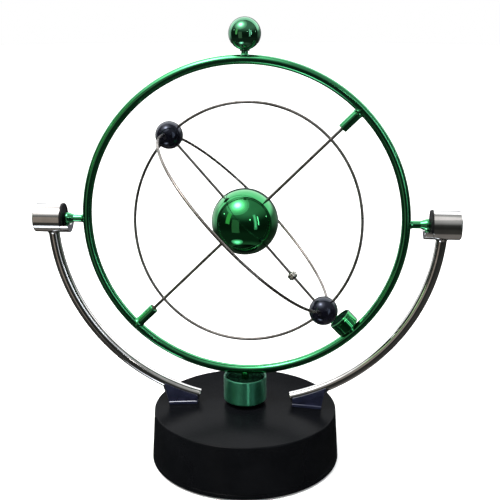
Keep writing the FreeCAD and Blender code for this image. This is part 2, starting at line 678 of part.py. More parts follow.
def make_swing():
    ring = Part.makeTorus(RING_RADIUS, RING_ROD, ORIGIN, Y_AXIS)
    save("outer_ring", at_pivot(ring))
    pin = make_pivot_pin().cut(ring)
    save("right_pivot_pin", at_pivot(pin))
    save("left_pivot_pin", at_pivot(half_turn(pin)))
    slope = math.radians(AXLE_SLOPE)
    upward = Vector(math.cos(slope), 0, math.sin(slope))
    for name, direction in (("upper", upward), ("lower", upward * -1)):
        save(name + "_post", at_pivot(make_post(direction, ring)))
        save(name + "_bush", at_pivot(make_bush(direction)))
    stud_length = TOP_BALL_RISE - STUD_GAP - RING_RADIUS
    stud = Part.makeCylinder(STUD_RADIUS, stud_length, Vector(0, 0, RING_RADIUS))
    ball = Part.makeSphere(TOP_BALL_RADIUS, Vector(0, 0, TOP_BALL_RISE))
    save("top_ball_stud", at_pivot(stud.cut(ring)))
    save("top_ball", at_pivot(ball.cut(stud)))
    make_drive_magnet_parts(ring)
    make_side_magnet_parts(ring)


# ---- rotor --------------------------------------------------------------------------
def rotor_placement():
    """Rotor drawings have the axle along Z and the small balls along X."""
    slope = math.radians(AXLE_SLOPE)
    turn = math.radians(ROTOR_REST_TURN)
    axle = Vector(math.cos(slope), 0, math.sin(slope))
    down_rod = Vector(math.sin(slope), 0, -math.cos(slope))
    rod = down_rod * math.cos(turn) + Y_AXIS * math.sin(turn)
    normal = axle.cross(rod)
    matrix = Matrix(rod.x, normal.x, axle.x, 0,
                    rod.y, normal.y, axle.y, 0,
                    rod.z, normal.z, axle.z, PIVOT_HEIGHT,
                    0, 0, 0, 1)
    return Placement(matrix)


def save_rotor(name, shape):
    placed = shape.copy()
    placed.Placement = rotor_placement().multiply(shape.Placement)
    save(name, placed)


def ball_centres():
    return {"lower": X_AXIS * ORBIT_RADIUS, "upper": X_AXIS * -ORBIT_RADIUS}


def make_centre_ball(axle, rods):
    outside = Part.makeSphere(CENTRE_BALL_RADIUS)
    inside = Part.makeSphere(CENTRE_BALL_RADIUS - CENTRE_WALL)
    shell = outside.cut(inside)
    reach = CENTRE_BALL_RADIUS + 1
    front = block((-reach, -reach, -reach), (reach, 0, reach))
    rear = block((-reach, 0, -reach), (reach, reach, reach))
    save_rotor("centre_ball_front", shell.common(front).cut([axle] + rods))
    save_rotor("centre_ball_rear", shell.common(rear).cut([axle] + rods))


def make_bead(rod):
    bead = radial_rod(BEAD_RADIUS, X_AXIS, BEAD_AT - BEAD_HALF, BEAD_AT + BEAD_HALF)
    bead = bead.makeFillet(BEAD_FILLET, [edge for edge in bead.Edges if edge.Closed])
    return bead.cut(rod)


def upper_magnet_length(bead_volume):
    """The upper ball's magnet is longer, so that the bead's weight is balanced."""
    area = math.pi * BALL_MAGNET_RADIUS ** 2
    bead_moment = bead_volume * BEAD_DENSITY * BEAD_AT
    extra_density = MAGNET_DENSITY - BALL_DENSITY
    return LOWER_MAGNET_LENGTH + bead_moment / (area * extra_density * ORBIT_RADIUS)


def make_rotor():
    axle = Part.makeCylinder(AXLE_RADIUS, 2 * AXLE_END, Vector(0, 0, -AXLE_END))
    rods = {name: rod_between(ROD_RADIUS, centre * (ROD_START / ORBIT_RADIUS),
                              centre * (1 - WIRE_SEAT / ORBIT_RADIUS))
            for name, centre in ball_centres().items()}
    save_rotor("axle", axle)
    hub = Part.makeCylinder(HUB_RADIUS, 2 * HUB_HALF, Vector(0, 0, -HUB_HALF))
    save_rotor("centre_hub", hub.cut([axle] + list(rods.values())))
    make_centre_ball(axle, list(rods.values()))

    seats = [Part.makeSphere(WIRE_SEAT, centre) for centre in ball_centres().values()]
    meridian = Part.makeTorus(ORBIT_RADIUS, WIRE_RADIUS, ORIGIN, Y_AXIS).cut(seats + [axle])
    equator = Part.makeTorus(ORBIT_RADIUS, WIRE_RADIUS, ORIGIN, Z_AXIS).cut(seats)
    save_rotor("meridian_ring", meridian)
    save_rotor("equatorial_ring", equator)

    bead = make_bead(rods["lower"])
    save_rotor("balance_bead", bead)
    magnet_lengths = {"lower": LOWER_MAGNET_LENGTH, "upper": upper_magnet_length(bead.Volume)}
    for name, centre in ball_centres().items():
        half = X_AXIS * (magnet_lengths[name] / 2)
        magnet = rod_between(BALL_MAGNET_RADIUS, centre - half, centre + half)
        ball = Part.makeSphere(SMALL_BALL_RADIUS, centre)
        save_rotor(name + "_cross_rod", rods[name])
        save_rotor(name + "_ball_magnet", magnet)
        save_rotor(name + "_ball", ball.cut([magnet, rods[name], meridian, equator]))


make_base()
make_batteries()
make_coil()
make_circuit()
make_supports()
make_swing()
make_rotor()
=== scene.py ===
import json
import math

import bmesh
import bpy
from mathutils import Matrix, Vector


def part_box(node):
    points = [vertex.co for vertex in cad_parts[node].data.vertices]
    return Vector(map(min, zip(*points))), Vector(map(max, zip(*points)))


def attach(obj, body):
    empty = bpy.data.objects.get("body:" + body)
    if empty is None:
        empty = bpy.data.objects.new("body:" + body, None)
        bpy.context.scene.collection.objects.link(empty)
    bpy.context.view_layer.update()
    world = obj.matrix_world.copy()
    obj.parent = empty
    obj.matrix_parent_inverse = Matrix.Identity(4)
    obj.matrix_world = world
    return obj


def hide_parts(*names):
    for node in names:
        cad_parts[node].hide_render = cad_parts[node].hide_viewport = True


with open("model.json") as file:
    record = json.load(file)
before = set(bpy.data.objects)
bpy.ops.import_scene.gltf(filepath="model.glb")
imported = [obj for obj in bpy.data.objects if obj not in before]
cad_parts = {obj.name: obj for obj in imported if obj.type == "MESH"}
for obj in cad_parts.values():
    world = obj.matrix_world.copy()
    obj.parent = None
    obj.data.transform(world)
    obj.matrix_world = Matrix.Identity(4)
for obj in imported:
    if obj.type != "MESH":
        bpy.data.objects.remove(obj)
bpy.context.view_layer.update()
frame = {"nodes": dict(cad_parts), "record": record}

# The looks of a kinetic desk toy: a plated ring that swings between two chrome cups, and
# a rotor of wire rings and balls that spins inside it, over a black base.  The toy's lengths
# are in millimetres and become metres in add_piece().  The camera, lamps and cards are in
# metres.  +X runs along the pivot axis.

MM = 0.001


# ---- sizes read from the frame --------------------------------------------------------
def box(node):
    """Lowest and highest corner of a CAD node, in millimetres."""
    low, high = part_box(node)
    return low / MM, high / MM


def middle(node):
    """Centre of a CAD node's box, in millimetres."""
    low, high = box(node)
    return (low + high) / 2


def spread(node):
    """Size of a CAD node's box, in millimetres."""
    low, high = box(node)
    return high - low


X_WAY = Vector((1, 0, 0))
Y_WAY = Vector((0, 1, 0))
Z_WAY = Vector((0, 0, 1))
PIVOT = middle("outer_ring")
RING_ROD = spread("outer_ring").y / 2
RING_RADIUS = spread("outer_ring").x / 2 - RING_ROD

AXLE_SPAN = spread("axle")
AXLE_WAY = Vector((AXLE_SPAN.x, 0, AXLE_SPAN.z)).normalized()
AXLE_RADIUS = AXLE_SPAN.y / 2
AXLE_HALF = math.hypot(AXLE_SPAN.x, AXLE_SPAN.z) / 2 - AXLE_RADIUS
LOWER_BALL = middle("lower_ball")
ROD_WAY = (LOWER_BALL - PIVOT).normalized()
ROTOR_NORMAL = AXLE_WAY.cross(ROD_WAY).normalized()
ORBIT_RADIUS = (LOWER_BALL - PIVOT).length
SMALL_BALL_RADIUS = spread("lower_ball").x / 2
CENTRE_BALL_RADIUS = spread("centre_ball_front").x / 2

BASE_FOOT_RADIUS = spread("base_shell").x / 2
BASE_BOTTOM = box("base_shell")[0].z
BASE_CREST = box("base_shell")[1].z
TOP_BALL = middle("top_ball")
TOP_BALL_RADIUS = spread("top_ball").x / 2
HOUSING_LOW, HOUSING_HIGH = box("drive_magnet_housing")
HOUSING_RADIUS = spread("drive_magnet_housing").x / 2
CUP_RADIUS = spread("right_cup").y / 2
CUP_LIP = box("right_cup")[0].x
CUP_END = box("right_cup")[1].x
CAP_RADIUS = spread("right_bearing_cap").y / 2

# ---- sizes that no single node's box gives -----------------------------------------------
BASE_RIM_RADIUS = 50.7
BASE_RIM_HEIGHT = 30.0
BASE_WALL = 2.0
RIM_FILLET = 0.8
SEAM_LIFT = 2.6
SEAM_HALF = 0.16
ARM_RADIUS = 104.0
ARM_ROD = 3.0
ARM_END_ANGLE = 75.9
ARM_END_EDGE = 0.3
SADDLE_INNER = 26.5
SADDLE_OUTER = 42.5
SADDLE_OUTER_TOP = 44.8
SADDLE_HALF_WIDTH = 3.4
SADDLE_REACH = 103.7
FLANGE_PROUD = 0.5
FLANGE_HEIGHT = 1.8
LIP_PROUD = 0.35
LIP_DROP = 4.2
CUP_FACE = 98.8
CUP_CUT_LEVEL = -2.4
CUP_BORE = 3.5
CAP_THICKNESS = 1.3
PIN_RADIUS = 2.05
COLLAR_RADIUS = 3.2
COLLAR_START = 92.4
COLLAR_END = 97.1
JOURNAL_RADIUS = 1.5
JOURNAL_END = 102.5
STUD_RADIUS = 1.8
HOUSING_WALL = 1.1
SIDE_ANGLE = 46.0
SIDE_RADIUS = 6.7
SIDE_INNER = 74.0
SIDE_OUTER = 81.4
SIDE_NECK = 2.6
POST_RADIUS = 2.6
POST_END = 71.0
BUSH_RADIUS = 1.6
WIRE_RADIUS = 0.8
ROD_RADIUS = 0.75
WIRE_SEAT = 5.2
BEAD_RADIUS = 2.6
BEAD_HALF = 2.0
BEAD_AT = 38.5

# ---- mesh, material and stage settings ---------------------------------------------------
BEVEL_LIMIT = 50
END_STEPS = 4
NOISE_LOW = 0.3
NOISE_HIGH = 0.7
MIX_FIRST = 6
MIX_SECOND = 7
MIX_RESULT = 2

CAMERA_PLACE = Vector((0.0404, -0.4951, 0.2678))
CAMERA_TARGET = Vector((0.0027, 0.0, 0.1212))
CAMERA_LENS = 69.5
FLOOR_RADIUS = 3.0
SUN_ENERGY = 2.9
SUN_SOFTNESS = 70
SUN_TILT = (12, -8)
STREAK_AZIMUTH = 20.0
STREAK_ENERGY = 0.35
STREAK_WIDTH = 0.012
STREAK_HEIGHT = 0.10
STREAK_DISTANCE = 0.4
STREAK_RISE = 0.02
SOFT_DISTANCE = 1.2
SOFT_GAP = 0.01
SOFT_GROWTH = 1.30
SOFT_FADE = 0.66


# ---- mesh helpers -----------------------------------------------------------------------
def join_rings(bm, first, second):
    """Faces between two rings of vertices.  A ring of one vertex is a pole."""
    count = max(len(first), len(second))
    for i in range(count):
        after = (i + 1) % count
        if len(first) == 1:
            bm.faces.new((first[0], second[after], second[i]))
        elif len(second) == 1:
            bm.faces.new((first[i], first[after], second[0]))
        else:
            bm.faces.new((first[i], first[after], second[after], second[i]))


def loft(rings, closed=False, capped=True):
    """A skin over rings of points.  Its open ends are capped."""
    bm = bmesh.new()
    made = [[bm.verts.new(point) for point in ring] for ring in rings]
    pairs = list(zip(made, made[1:]))
    if closed:
        pairs.append((made[-1], made[0]))
    for first, second in pairs:
        join_rings(bm, first, second)
    if capped and not closed:
        for ring in (made[0], made[-1]):
            if len(ring) > 2:
                bm.faces.new(ring)
    bmesh.ops.recalc_face_normals(bm, faces=bm.faces)
    return bm


def circle(centre, across, up, radius, sides):
    """A ring of points about a centre, in the plane of two directions."""
    turn = 2 * math.pi / sides
    return [centre + (across * math.cos(i * turn) + up * math.sin(i * turn)) * radius
            for i in range(sides)]


def lathe(outline, origin, along, sides=128, closed=False):
    """Turns an outline of (distance along the axis, radius) points about the axis."""
    across = along.orthogonal().normalized()
    up = along.cross(across).normalized()
    rings = []
    for distance, radius in outline:
        centre = origin + along * distance
        if radius < 1e-6:
            rings.append([centre])
        else:
            rings.append(circle(centre, across, up, radius, sides))
    return loft(rings, closed, capped=False)


def rounded(corners, steps=6):
    """Rounds the corners of an outline.  A corner is (distance, radius, rounding)."""
    points = []
    last = len(corners) - 1
    for index, corner in enumerate(corners):
        here = Vector(corner[:2])
        rounding = corner[2] if len(corner) > 2 else 0
        if rounding == 0 or index in (0, last):
            points.append(here)
            continue
        before = Vector(corners[index - 1][:2]) - here
        after = Vector(corners[index + 1][:2]) - here
        half = before.angle(after) / 2
        trim = rounding / math.tan(half)
        trim = min(trim, before.length * 0.5, after.length * 0.5)
        size = trim * math.tan(half)
        bisector = (before.normalized() + after.normalized()).normalized()
        centre = here + bisector * (size / math.sin(half))
        start = here + before.normalized() * trim - centre
        end = here + after.normalized() * trim - centre
        swing = start.angle_signed(end) if size > 0 else 0
        for step in range(steps + 1):
            angle = -swing * step / steps
            turned = Vector((start.x * math.cos(angle) - start.y * math.sin(angle),
                             start.x * math.sin(angle) + start.y * math.cos(angle)))
            points.append(centre + turned)
    return [(point.x, max(point.y, 0)) for point in points]


def evenly(start, end, steps):
    """Numbers from the start to the end in even steps, with both ends."""
    return [start + (end - start) * i / steps for i in range(steps + 1)]


def bent_bar(centre, first, second, bend, rod, start, end, steps, sides, rounding=0.0):
    """A round bar bent in an arc from the first direction towards the second, in degrees.
    A full turn closes on itself, and the rounding is the radius of the ends' edges."""
    normal = first.cross(second).normalized()
    rings = []

    def ring_at(angle, radius):
        outward = first * math.cos(angle) + second * math.sin(angle)
        rings.append(circle(centre + outward * bend, outward, normal, radius, sides))

    low, high = math.radians(start), math.radians(end)
    whole = end - start == 360
    edge = rounding / bend
    turns = evenly(0, math.pi / 2, END_STEPS)[:-1] if rounding else []
    for turn in turns:
        ring_at(low + edge * (1 - math.cos(turn)), rod - rounding * (1 - math.sin(turn)))
    stations = evenly(low + edge, high - edge, steps)
    for angle in stations[:-1] if whole else stations:
        ring_at(angle, rod)
    for turn in reversed(turns):
        ring_at(high - edge * (1 - math.cos(turn)), rod - rounding * (1 - math.sin(turn)))
    return loft(rings, closed=whole)


def bevelled(bm, size, segments):
    """Small round edges wherever two faces meet at more than BEVEL_LIMIT degrees."""
    edges = [edge for edge in bm.edges
             if len(edge.link_faces) == 2 and edge.calc_face_angle() > math.radians(BEVEL_LIMIT)]
    bmesh.ops.bevel(bm, geom=edges, offset=size, segments=segments, profile=0.5,
                    affect="EDGES", clamp_overlap=True)
    return bm


def add_piece(name, bm, body, slot, nodes, look=None, sharp=40, weighted=True):
    """Turns a bmesh in millimetres into a piece that rides on a body.  Its look is that of
    its slot, unless another is named."""
    bmesh.ops.scale(bm, vec=(MM, MM, MM), verts=bm.verts)
    mesh = bpy.data.meshes.new(name)
    bm.to_mesh(mesh)
    bm.free()
    for polygon in mesh.polygons:
        polygon.use_smooth = True
    mesh.set_sharp_from_angle(angle=math.radians(sharp))
    piece = bpy.data.objects.new(name, mesh)
    bpy.context.scene.collection.objects.link(piece)
    mesh.materials.append(LOOKS[look or slot])
    if weighted:
        modifier = piece.modifiers.new("even_faces", "WEIGHTED_NORMAL")
        modifier.keep_sharp = True
    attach(piece, body)
    if nodes:
        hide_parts(*nodes)
    return piece


def merged(*parts):
    """Several bmeshes as one."""
    whole = bmesh.new()
    for part in parts:
        mesh = bpy.data.meshes.new("part")
        part.to_mesh(mesh)
        part.free()
        whole.from_mesh(mesh)
        bpy.data.meshes.remove(mesh)
    return whole


# ---- materials --------------------------------------------------------------------------
class Look:
    """A material's node tree, with short ways to add the nodes that every look uses."""

    def __init__(self, name, **settings):
        self.material = bpy.data.materials.new(name)
        self.material.use_nodes = True
        self.tree = self.material.node_tree
        self.shader = self.tree.nodes["Principled BSDF"]
        for socket, value in settings.items():
            self.shader.inputs[socket.replace("_", " ")].default_value = value
        coordinates = self.tree.nodes.new("ShaderNodeTexCoord")
        self.place = coordinates.outputs["Object"]

    def link(self, output, socket):
        self.tree.links.new(output, socket)

    def node(self, kind, **values):
        made = self.tree.nodes.new(kind)
        for key, value in values.items():
            setattr(made, key, value)
        return made

    def noise(self, scale, detail=3.0, roughness=0.55):
        """Cloudy patches.  A larger scale makes them finer."""
        texture = self.node("ShaderNodeTexNoise")
        texture.inputs["Scale"].default_value = scale
        texture.inputs["Detail"].default_value = detail
        texture.inputs["Roughness"].default_value = roughness
        self.link(self.place, texture.inputs["Vector"])
        return texture.outputs["Fac"]

    def bands(self, scale, direction, distortion=0.0):
        """Stripes across an axis."""
        texture = self.node("ShaderNodeTexWave", wave_type="BANDS", bands_direction=direction)
        texture.inputs["Scale"].default_value = scale
        texture.inputs["Distortion"].default_value = distortion
        texture.inputs["Detail"].default_value = 1.0
        self.link(self.place, texture.inputs["Vector"])
        return texture.outputs["Fac"]

    def cells(self, scale):
        """Small cells, by the distance to the middle of each."""
        texture = self.node("ShaderNodeTexVoronoi", feature="F1")
        texture.inputs["Scale"].default_value = scale
        self.link(self.place, texture.inputs["Vector"])
        return texture.outputs["Distance"]

    def colours(self, value, *stops):
        """Base colour along a ramp of (position, colour) stops."""
        ramp = self.node("ShaderNodeValToRGB")
        elements = ramp.color_ramp.elements
        elements[0].position, elements[0].color = stops[0][0], (*stops[0][1], 1)
        elements[1].position, elements[1].color = stops[-1][0], (*stops[-1][1], 1)
        for position, colour in stops[1:-1]:
            elements.new(position).color = (*colour, 1)
        self.link(value, ramp.inputs["Fac"])
        self.link(ramp.outputs["Color"], self.shader.inputs["Base Color"])

    def rough(self, value, low, high):
        """Roughness from low to high as a noise runs over its usual range."""
        span = self.node("ShaderNodeMapRange")
        span.inputs["From Min"].default_value = NOISE_LOW
        span.inputs["From Max"].default_value = NOISE_HIGH
        span.inputs["To Min"].default_value = low
        span.inputs["To Max"].default_value = high
        self.link(value, span.inputs["Value"])
        self.link(span.outputs["Result"], self.shader.inputs["Roughness"])

    def bump(self, value, distance):
        """Relief of about this height, in millimetres."""
        node = self.node("ShaderNodeBump")
        node.inputs["Strength"].default_value = 1.0
        node.inputs["Distance"].default_value = distance * MM
        self.link(value, node.inputs["Height"])
        self.link(node.outputs["Normal"], self.shader.inputs["Normal"])


def chrome():
    """Bright plating with a faint haze."""
    look = Look("chrome", Metallic=1.0)
    haze = look.noise(90, 4)
    look.colours(haze, (0.3, (0.50, 0.488, 0.48)), (0.7, (0.66, 0.653, 0.65)))
    look.rough(look.noise(260, 5), 0.05, 0.12)
    look.bump(look.noise(60, 2), 0.02)
    return look.material


def green_plating(name, ripple, deep, pale, rough_low=0.035, rough_high=0.09):
    """Green lacquer over bright plating.  The ripple is the height of its waves."""
    look = Look(name, Metallic=1.0, Coat_Weight=0.35, Coat_Roughness=0.04, Coat_IOR=1.5)
    look.colours(look.noise(70, 3), (0.35, deep), (0.65, pale))
    look.rough(look.noise(420, 4), rough_low, rough_high)
    look.bump(look.noise(140, 2), ripple)
    return look.material


def turned_green():
    """Plating over turned metal: fine marks round the axis pull highlights out along it."""
    look = Look("turned_green", Metallic=0.90, Anisotropic=0.92, Anisotropic_Rotation=0.25,
                Coat_Weight=0.25, Coat_Roughness=0.10)
    tangent = look.node("ShaderNodeTangent", direction_type="RADIAL", axis="Z")
    look.link(tangent.outputs["Tangent"], look.shader.inputs["Tangent"])
    # Painted shade: the colour is a darker, cooler copy of the green plating's, for the dark that
    # the pot shows low under the ring.
    look.colours(look.noise(110, 3), (0.3, (0.020, 0.120, 0.066)), (0.7, (0.030, 0.165, 0.096)))
    look.rough(look.noise(240, 2), 0.34, 0.40)
    look.bump(look.noise(60, 2), 0.010)
    return look.material


def satin_black():
    """The base's matt plastic, with a soft cool sheen at grazing angles."""
    look = Look("satin_black", Specular_IOR_Level=0.0, Coat_Weight=0.17, Coat_Roughness=0.27,
                Coat_IOR=1.4, Coat_Tint=(0.86, 0.94, 1.0, 1.0))
    look.colours(look.noise(55, 5), (0.3, (0.0013, 0.0015, 0.0019)),
                 (0.7, (0.0026, 0.0028, 0.0034)))
    look.rough(look.noise(700, 4), 0.40, 0.54)
    look.bump(look.noise(2600, 2), 0.004)
    return look.material


def gloss_black():
    """Polished black with a bluish tinge."""
    look = Look("gloss_black", Specular_IOR_Level=0.42, Specular_Tint=(0.66, 0.76, 1.0, 1.0))
    look.colours(look.noise(120, 4), (0.3, (0.0012, 0.0012, 0.0024)),
                 (0.7, (0.0024, 0.0024, 0.0042)))
    look.rough(look.noise(500, 4), 0.06, 0.11)
    look.bump(look.noise(900, 2), 0.004)
    return look.material


def saddle_black():
    """Moulded black gloss with a cool sheen, partly painted into its bluish colour."""
    look = Look("saddle_black", Specular_Tint=(0.62, 0.72, 1.0, 1.0), Coat_Weight=0.8,
                Coat_Roughness=0.08)
    # Painted sheen: a bluish black, brighter than the gloss black slot's, standing in for the cool
    # sheen that the saddles show.
    look.colours(look.noise(200, 4), (0.3, (0.0060, 0.0068, 0.0160)),
                 (0.7, (0.0120, 0.0135, 0.0300)))
    look.rough(look.noise(600, 4), 0.26, 0.40)
    look.bump(look.noise(1200, 2), 0.006)
    return look.material


def drawn_wire(name, dark, light, rough_low, rough_high):
    """Drawn wire with faint die lines and small spots of tarnish."""
    look = Look(name, Metallic=1.0)
    look.colours(look.noise(160, 6, 0.7), (0.35, dark), (0.65, light))
    look.rough(look.noise(600, 4), rough_low, rough_high)
    look.bump(look.noise(2200, 2), 0.004)
    return look.material


def pot_inside():
    """Painted shade: a near-black copy of the green lacquer for the lids over the magnets and the
    button's face, standing in for the shade in their recesses, with a few brighter flecks painted
    in as small glints.
    """
    look = Look("pot_inside", Specular_IOR_Level=0.0)
    look.colours(look.noise(520, 5, 0.7), (0.45, (0.0015, 0.0050, 0.0030)),
                 (0.62, (0.004, 0.020, 0.010)), (0.72, (0.020, 0.075, 0.040)))
    look.rough(look.noise(700, 3), 0.35, 0.55)
    look.bump(look.noise(900, 2), 0.01)
    return look.material


def metal(name, dark, light, rough_low, rough_high):
    """Bare metal with an uneven grain."""
    grain = 800
    look = Look(name, Metallic=1.0)
    look.colours(look.noise(grain / 6, 4), (0.3, dark), (0.7, light))
    look.rough(look.noise(grain, 3), rough_low, rough_high)
    look.bump(look.noise(grain * 2, 2), 0.006)
    return look.material


def plastic(name, dark, light, rough_low, rough_high, grain=900, relief=0.01, **settings):
    """Moulded plastic or rubber.  The relief is the height of its grain."""
    look = Look(name, **settings)
    look.colours(look.noise(grain / 8, 4), (0.3, dark), (0.7, light))
    look.rough(look.noise(grain, 3), rough_low, rough_high)
    look.bump(look.noise(grain * 2, 2), relief)
    return look.material


def copper_winding():
    """Fine turns of enamelled wire."""
    look = Look("copper", Metallic=1.0)
    turns = look.bands(2200, "Z", 0.6)
    look.colours(turns, (0.1, (0.28, 0.09, 0.03)), (0.6, (0.72, 0.30, 0.14)))
    look.rough(look.noise(900), 0.25, 0.4)
    look.bump(turns, 0.15)
    return look.material


def circuit_board():
    """Green board with paler tracks."""
    look = Look("circuit", Roughness=0.4, Coat_Weight=0.4)
    tracks = look.cells(260)
    look.colours(tracks, (0.25, (0.010, 0.085, 0.030)), (0.35, (0.025, 0.16, 0.05)),
                 (0.6, (0.012, 0.10, 0.035)))
    look.bump(tracks, 0.03)
    return look.material


def cell_jacket():
    """A battery's printed sleeve: a copper-coloured band on black."""
    look = Look("cell_jacket", Coat_Weight=0.6)
    along = look.bands(9, "Y")
    look.colours(along, (0.45, (0.02, 0.02, 0.022)), (0.5, (0.30, 0.13, 0.03)),
                 (0.56, (0.36, 0.16, 0.04)))
    look.rough(look.noise(400), 0.2, 0.35)
    look.bump(look.noise(200, 2), 0.01)
    return look.material


def make_looks():
    """Every material by name.  A name that is also a slot is that slot's look."""
    ring_deep, ring_pale = (0.040, 0.290, 0.110), (0.060, 0.360, 0.150)
    return {
        "chrome": chrome(),
        "green_metal": green_plating("green_metal", 0.02, ring_deep, ring_pale, 0.11, 0.18),
        "green_plastic": green_plating("green_plastic", 0.012, (0.020, 0.235, 0.066),
                                       (0.030, 0.295, 0.092)),
        "finial_green": green_plating("finial_green", 0.012, (0.046, 0.205, 0.100),
                                      (0.074, 0.270, 0.142)),
        "turned_green": turned_green(),
        "satin_black": satin_black(),
        "saddle_black": saddle_black(),
        "gloss_black": gloss_black(),
        "dark_wire": drawn_wire("dark_wire", (0.085, 0.080, 0.076), (0.16, 0.15, 0.142),
                                0.24, 0.40),
        "wire_steel": drawn_wire("wire_steel", (0.15, 0.135, 0.122), (0.25, 0.232, 0.218),
                                 0.16, 0.30),
        "bead_metal": metal("bead_metal", (0.45, 0.44, 0.41), (0.66, 0.65, 0.61), 0.10, 0.22),
        "screw_steel": metal("screw_steel", (0.34, 0.34, 0.33), (0.56, 0.56, 0.55), 0.22, 0.4),
        "magnet_metal": metal("magnet_metal", (0.40, 0.40, 0.39), (0.6, 0.6, 0.59), 0.2, 0.35),
        "brass": metal("brass", (0.10, 0.068, 0.032), (0.20, 0.14, 0.065), 0.30, 0.5),
        "iron": metal("iron", (0.12, 0.12, 0.12), (0.22, 0.215, 0.21), 0.35, 0.55),
        "copper": copper_winding(),
        "bobbin_plastic": plastic("bobbin_plastic", (0.50, 0.49, 0.44), (0.62, 0.60, 0.55),
                                  0.35, 0.5),
        "circuit": circuit_board(),
        "cap_black": plastic("cap_black", (0.0016, 0.0016, 0.0020), (0.0040, 0.0040, 0.0046),
                             0.34, 0.50, 700, 0.006, Specular_IOR_Level=0.12),
        "part_black": plastic("part_black", (0.012, 0.012, 0.012), (0.03, 0.03, 0.03), 0.4, 0.6),
        "cell_jacket": cell_jacket(),
        "lead_jacket": plastic("lead_jacket", (0.30, 0.01, 0.01), (0.42, 0.02, 0.02), 0.3, 0.45),
        "pot_inside": pot_inside(),
        "rubber": plastic("rubber", (0.014, 0.014, 0.014), (0.024, 0.023, 0.022), 0.7, 0.9,
                          1400, 0.04),
    }


# ---- base -------------------------------------------------------------------------------
def crown_height(radius):
    """Height of the base's domed top at a distance from the middle."""
    rise = BASE_CREST - BASE_RIM_HEIGHT
    sphere = (BASE_RIM_RADIUS ** 2 + rise ** 2) / (2 * rise)
    return BASE_CREST - (sphere - math.sqrt(sphere ** 2 - radius ** 2))


def add_base():
    """The shell: domed top, rounded rim, tapered side, a fine parting line and the open foot."""
    seam_height = BASE_BOTTOM + SEAM_LIFT

    def side(height):
        share = (height - BASE_BOTTOM) / (BASE_RIM_HEIGHT - BASE_BOTTOM)
        return BASE_FOOT_RADIUS + (BASE_RIM_RADIUS - BASE_FOOT_RADIUS) * share

    corners = [(crown_height(radius), radius) for radius in (0, 8, 16, 24, 32, 40, 46)]
    corners += [(BASE_RIM_HEIGHT, BASE_RIM_RADIUS, RIM_FILLET)]
    corners += [(height, side(height)) for height in (24, 18, 12, 7)]
    corners += [(seam_height + SEAM_HALF, side(seam_height), 0.08),
                (seam_height, side(seam_height) - SEAM_HALF * 1.4, 0.05),
                (seam_height - SEAM_HALF, side(seam_height), 0.08),
                (BASE_BOTTOM, BASE_FOOT_RADIUS, 0.35),
                (BASE_BOTTOM, BASE_FOOT_RADIUS - BASE_WALL, 0.2),
                (BASE_RIM_HEIGHT - BASE_WALL, BASE_RIM_RADIUS - BASE_WALL, 1.0),
                (BASE_CREST - BASE_WALL, 0)]
    shell = lathe(rounded(corners, 8), Vector(), Z_WAY, sides=256)
    add_piece("base_housing", shell, "base", "satin_black", ["base_shell"])


def arm_height(x):
    """Height of the curve that the saddles' upper edge follows."""
    return PIVOT.z - math.sqrt(SADDLE_REACH ** 2 - x ** 2)


def add_saddle(side, name):
    """A wedge that cradles the arm's end, lofted from its inner to its outer end.  It has a
    flange round its foot and a lip along its upper edge."""
    stations = 20
    groove_steps = 10
    groove_gap = 0.05
    foot_sink = 0.03
    least_wall = 0.3
    chamfer = 0.8
    flange = Y_WAY * (SADDLE_HALF_WIDTH + FLANGE_PROUD)
    wall = Y_WAY * SADDLE_HALF_WIDTH
    lip = Y_WAY * (SADDLE_HALF_WIDTH + LIP_PROUD)
    rings = []
    for station in range(stations + 1):
        share = station / stations
        low_x = SADDLE_INNER + (SADDLE_OUTER - SADDLE_INNER) * share
        top_x = SADDLE_INNER + (SADDLE_OUTER_TOP - SADDLE_INNER) * share
        outward = Vector((top_x, 0, arm_height(top_x) - PIVOT.z)).normalized()
        arm_middle = PIVOT + outward * ARM_RADIUS
        edge = PIVOT + outward * SADDLE_REACH
        foot = Vector((low_x, 0, crown_height(low_x) - foot_sink))
        lean = (edge - foot).normalized()
        rise = lean * FLANGE_HEIGHT
        drop = lean * min(LIP_DROP, (edge - foot).length - FLANGE_HEIGHT - least_wall)
        ring = [foot - wall + rise, foot - flange + rise * chamfer, foot - flange,
                foot + flange, foot + flange + rise * chamfer, foot + wall + rise,
                edge + wall - drop, edge + lip - drop * chamfer, edge + lip]
        for step in range(groove_steps + 1):
            angle = math.pi * step / groove_steps
            ring.append(arm_middle + (Y_WAY * math.cos(angle) + outward * math.sin(angle))
                        * (ARM_ROD + groove_gap))
        ring += [edge - lip, edge - lip - drop * chamfer, edge - wall - drop]
        rings.append([Vector((side * point.x, point.y, point.z)) for point in ring])
    wedge = bevelled(loft(rings), 0.16, 3)
    add_piece(name + "_saddle_block", wedge, "base", "gloss_black", [name + "_saddle"],
              look="saddle_black")


def add_arm(side, name):
    """A chrome bar from inside the cup down to its square-cut end."""
    hidden = 0.6
    cup_entry = math.degrees(math.asin((CUP_RADIUS - hidden) / ARM_RADIUS))
    bar = bent_bar(PIVOT, X_WAY * side, -Z_WAY, ARM_RADIUS, ARM_ROD, cup_entry,
                   ARM_END_ANGLE, 160, 40, rounding=ARM_END_EDGE)
    add_piece(name + "_arm_bar", bar, "base", "chrome", [name + "_arm"])


def weld_fillet(surface, along, bar, width, height, sink):
    """A concave fillet round a bar, wide at the surface that it is welded to and flush with
    the bar at its end.  It starts a little below the surface, which is curved."""
    inside = bar - 0.3
    outer = bar + width
    outline = [(0, inside), (0, outer)]
    for angle in evenly(0, math.pi / 2, 8)[1:]:
        outline.append((height * math.sin(angle), outer - width * math.sin(angle) ** 0.6))
    outline.append((height, inside))
    return lathe(outline, surface - along * sink, along, 48, closed=True)


